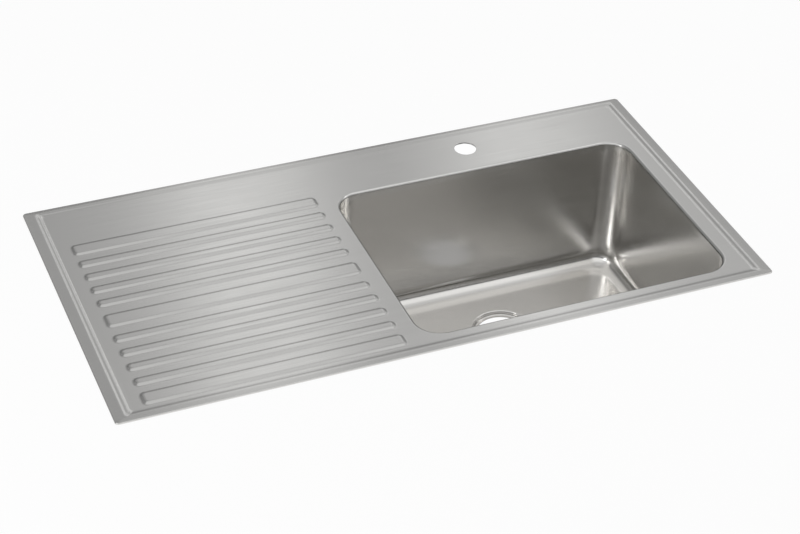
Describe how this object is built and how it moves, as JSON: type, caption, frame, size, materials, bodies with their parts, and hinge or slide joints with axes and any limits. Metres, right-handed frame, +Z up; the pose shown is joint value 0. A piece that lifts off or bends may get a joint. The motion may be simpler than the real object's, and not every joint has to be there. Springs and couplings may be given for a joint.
{
  "type": "drop-in kitchen sink with drainboard",
  "caption": "Drop-in stainless kitchen sink: one deep bowl on the right, a ribbed drainboard on the left, a raised rim, a tap hole, and clamps that hold it down in a worktop.",
  "frame": {"origin": "centre of the rim, in the plane of the worktop that the rim rests on", "axes": "+X to the right along the sink, from the drainboard to the bowl; +Y from the front to the tap ledge; +Z up"},
  "size_m": [1.092, 0.559, 0.2658],
  "materials": {
    "deck_steel": "satin, brushed along its length, its edges and rolled opening polished",
    "bowl_steel": "deep-drawn satin, brushed, coves brighter",
    "welded_steel": "mill finish, spot-welded",
    "damping_pad": "matt rubber, self-adhesive",
    "seal_foam": "closed-cell foam strip",
    "zinc_plate": "bright zinc plate"
  },
  "bodies": {
    "sink": {"deck_pressing": "deck_steel", "bowl_shell": "bowl_steel", "rail_front": "welded_steel", "rail_rear": "welded_steel", "rail_left": "welded_steel", "rail_right": "welded_steel", "stiffener_left": "welded_steel", "stiffener_middle": "welded_steel", "stiffener_right": "welded_steel", "tap_backing_plate": "welded_steel", "pad_bowl_front": "damping_pad", "pad_bowl_rear": "damping_pad", "pad_bowl_left": "damping_pad", "pad_bowl_right": "damping_pad", "pad_bowl_floor": "damping_pad", "pad_drainboard_left": "damping_pad", "pad_drainboard_right": "damping_pad", "rim_seal": "seal_foam"},
    "bolt_front_left": {"hanger_bolt_front_left": "zinc_plate"},
    "washer_front_left": {"washer_front_left": "zinc_plate"},
    "toe_front_left": {"clamp_toe_front_left": "zinc_plate"},
    "nut_front_left": {"hex_nut_front_left": "zinc_plate"},
    "bolt_front_middle": {"hanger_bolt_front_middle": "zinc_plate"},
    "washer_front_middle": {"washer_front_middle": "zinc_plate"},
    "toe_front_middle": {"clamp_toe_front_middle": "zinc_plate"},
    "nut_front_middle": {"hex_nut_front_middle": "zinc_plate"},
    "bolt_front_right": {"hanger_bolt_front_right": "zinc_plate"},
    "washer_front_right": {"washer_front_right": "zinc_plate"},
    "toe_front_right": {"clamp_toe_front_right": "zinc_plate"},
    "nut_front_right": {"hex_nut_front_right": "zinc_plate"},
    "bolt_rear_left": {"hanger_bolt_rear_left": "zinc_plate"},
    "washer_rear_left": {"washer_rear_left": "zinc_plate"},
    "toe_rear_left": {"clamp_toe_rear_left": "zinc_plate"},
    "nut_rear_left": {"hex_nut_rear_left": "zinc_plate"},
    "bolt_rear_middle": {"hanger_bolt_rear_middle": "zinc_plate"},
    "washer_rear_middle": {"washer_rear_middle": "zinc_plate"},
    "toe_rear_middle": {"clamp_toe_rear_middle": "zinc_plate"},
    "nut_rear_middle": {"hex_nut_rear_middle": "zinc_plate"},
    "bolt_rear_right": {"hanger_bolt_rear_right": "zinc_plate"},
    "washer_rear_right": {"washer_rear_right": "zinc_plate"},
    "toe_rear_right": {"clamp_toe_rear_right": "zinc_plate"},
    "nut_rear_right": {"hex_nut_rear_right": "zinc_plate"},
    "bolt_left": {"hanger_bolt_left": "zinc_plate"},
    "washer_left": {"washer_left": "zinc_plate"},
    "toe_left": {"clamp_toe_left": "zinc_plate"},
    "nut_left": {"hex_nut_left": "zinc_plate"},
    "bolt_right": {"hanger_bolt_right": "zinc_plate"},
    "washer_right": {"washer_right": "zinc_plate"},
    "toe_right": {"clamp_toe_right": "zinc_plate"},
    "nut_right": {"hex_nut_right": "zinc_plate"}
  },
  "joints": [
    {"name": "slide_front_left", "type": "slide", "parent": "sink", "child": "bolt_front_left", "axis": [1, 0, 0], "range_m": [-0.14, 0.14]},
    {"name": "lift_front_left", "type": "slide", "parent": "bolt_front_left", "child": "washer_front_left", "axis": [0, 0, 1], "range_m": [0, 0.0254]},
    {"name": "turn_front_left", "type": "hinge", "parent": "washer_front_left", "child": "nut_front_left", "pos_m": [-0.34, -0.2544, -0.0576], "axis": [0, 0, 1], "range_deg": [0, 7205]},
    {"name": "swing_front_left", "type": "hinge", "parent": "washer_front_left", "child": "toe_front_left", "pos_m": [-0.34, -0.2544, -0.0576], "axis": [0, 0, 1], "range_deg": [-90, 90]},
    {"name": "slide_front_middle", "type": "slide", "parent": "sink", "child": "bolt_front_middle", "axis": [1, 0, 0], "range_m": [-0.14, 0.14]},
    {"name": "lift_front_middle", "type": "slide", "parent": "bolt_front_middle", "child": "washer_front_middle", "axis": [0, 0, 1], "range_m": [0, 0.0254]},
    {"name": "turn_front_middle", "type": "hinge", "parent": "washer_front_middle", "child": "nut_front_middle", "pos_m": [0, -0.2544, -0.0576], "axis": [0, 0, 1], "range_deg": [0, 7205]},
    {"name": "swing_front_middle", "type": "hinge", "parent": "washer_front_middle", "child": "toe_front_middle", "pos_m": [0, -0.2544, -0.0576], "axis": [0, 0, 1], "range_deg": [-90, 90]},
    {"name": "slide_front_right", "type": "slide", "parent": "sink", "child": "bolt_front_right", "axis": [1, 0, 0], "range_m": [-0.14, 0.14]},
    {"name": "lift_front_right", "type": "slide", "parent": "bolt_front_right", "child": "washer_front_right", "axis": [0, 0, 1], "range_m": [0, 0.0254]},
    {"name": "turn_front_right", "type": "hinge", "parent": "washer_front_right", "child": "nut_front_right", "pos_m": [0.34, -0.2544, -0.0576], "axis": [0, 0, 1], "range_deg": [0, 7205]},
    {"name": "swing_front_right", "type": "hinge", "parent": "washer_front_right", "child": "toe_front_right", "pos_m": [0.34, -0.2544, -0.0576], "axis": [0, 0, 1], "range_deg": [-90, 90]},
    {"name": "slide_rear_left", "type": "slide", "parent": "sink", "child": "bolt_rear_left", "axis": [1, 0, 0], "range_m": [-0.14, 0.14]},
    {"name": "lift_rear_left", "type": "slide", "parent": "bolt_rear_left", "child": "washer_rear_left", "axis": [0, 0, 1], "range_m": [0, 0.0254]},
    {"name": "turn_rear_left", "type": "hinge", "parent": "washer_rear_left", "child": "nut_rear_left", "pos_m": [-0.34, 0.2544, -0.0576], "axis": [0, 0, 1], "range_deg": [0, 7205]},
    {"name": "swing_rear_left", "type": "hinge", "parent": "washer_rear_left", "child": "toe_rear_left", "pos_m": [-0.34, 0.2544, -0.0576], "axis": [0, 0, 1], "range_deg": [-90, 90]},
    {"name": "slide_rear_middle", "type": "slide", "parent": "sink", "child": "bolt_rear_middle", "axis": [1, 0, 0], "range_m": [-0.14, 0.14]},
    {"name": "lift_rear_middle", "type": "slide", "parent": "bolt_rear_middle", "child": "washer_rear_middle", "axis": [0, 0, 1], "range_m": [0, 0.0254]},
    {"name": "turn_rear_middle", "type": "hinge", "parent": "washer_rear_middle", "child": "nut_rear_middle", "pos_m": [0, 0.2544, -0.0576], "axis": [0, 0, 1], "range_deg": [0, 7205]},
    {"name": "swing_rear_middle", "type": "hinge", "parent": "washer_rear_middle", "child": "toe_rear_middle", "pos_m": [0, 0.2544, -0.0576], "axis": [0, 0, 1], "range_deg": [-90, 90]},
    {"name": "slide_rear_right", "type": "slide", "parent": "sink", "child": "bolt_rear_right", "axis": [1, 0, 0], "range_m": [-0.14, 0.14]},
    {"name": "lift_rear_right", "type": "slide", "parent": "bolt_rear_right", "child": "washer_rear_right", "axis": [0, 0, 1], "range_m": [0, 0.0254]},
    {"name": "turn_rear_right", "type": "hinge", "parent": "washer_rear_right", "child": "nut_rear_right", "pos_m": [0.34, 0.2544, -0.0576], "axis": [0, 0, 1], "range_deg": [0, 7205]},
    {"name": "swing_rear_right", "type": "hinge", "parent": "washer_rear_right", "child": "toe_rear_right", "pos_m": [0.34, 0.2544, -0.0576], "axis": [0, 0, 1], "range_deg": [-90, 90]},
    {"name": "slide_left", "type": "slide", "parent": "sink", "child": "bolt_left", "axis": [0, 1, 0], "range_m": [-0.2, 0.2]},
    {"name": "lift_left", "type": "slide", "parent": "bolt_left", "child": "washer_left", "axis": [0, 0, 1], "range_m": [0, 0.0254]},
    {"name": "turn_left", "type": "hinge", "parent": "washer_left", "child": "nut_left", "pos_m": [-0.5144, 0, -0.0576], "axis": [0, 0, 1], "range_deg": [0, 7205]},
    {"name": "swing_left", "type": "hinge", "parent": "washer_left", "child": "toe_left", "pos_m": [-0.5144, 0, -0.0576], "axis": [0, 0, 1], "range_deg": [-90, 90]},
    {"name": "slide_right", "type": "slide", "parent": "sink", "child": "bolt_right", "axis": [0, 1, 0], "range_m": [-0.2, 0.2]},
    {"name": "lift_right", "type": "slide", "parent": "bolt_right", "child": "washer_right", "axis": [0, 0, 1], "range_m": [0, 0.0254]},
    {"name": "turn_right", "type": "hinge", "parent": "washer_right", "child": "nut_right", "pos_m": [0.5144, 0, -0.0576], "axis": [0, 0, 1], "range_deg": [0, 7205]},
    {"name": "swing_right", "type": "hinge", "parent": "washer_right", "child": "toe_right", "pos_m": [0.5144, 0, -0.0576], "axis": [0, 0, 1], "range_deg": [-90, 90]}
  ],
  "couplings": [
    {"joint": "turn_front_left", "follows": "lift_front_left", "rad_per_m": 4947.4},
    {"joint": "turn_front_middle", "follows": "lift_front_middle", "rad_per_m": 4947.4},
    {"joint": "turn_front_right", "follows": "lift_front_right", "rad_per_m": 4947.4},
    {"joint": "turn_rear_left", "follows": "lift_rear_left", "rad_per_m": 4947.4},
    {"joint": "turn_rear_middle", "follows": "lift_rear_middle", "rad_per_m": 4947.4},
    {"joint": "turn_rear_right", "follows": "lift_rear_right", "rad_per_m": 4947.4},
    {"joint": "turn_left", "follows": "lift_left", "rad_per_m": 4947.4},
    {"joint": "turn_right", "follows": "lift_right", "rad_per_m": 4947.4}
  ]
}
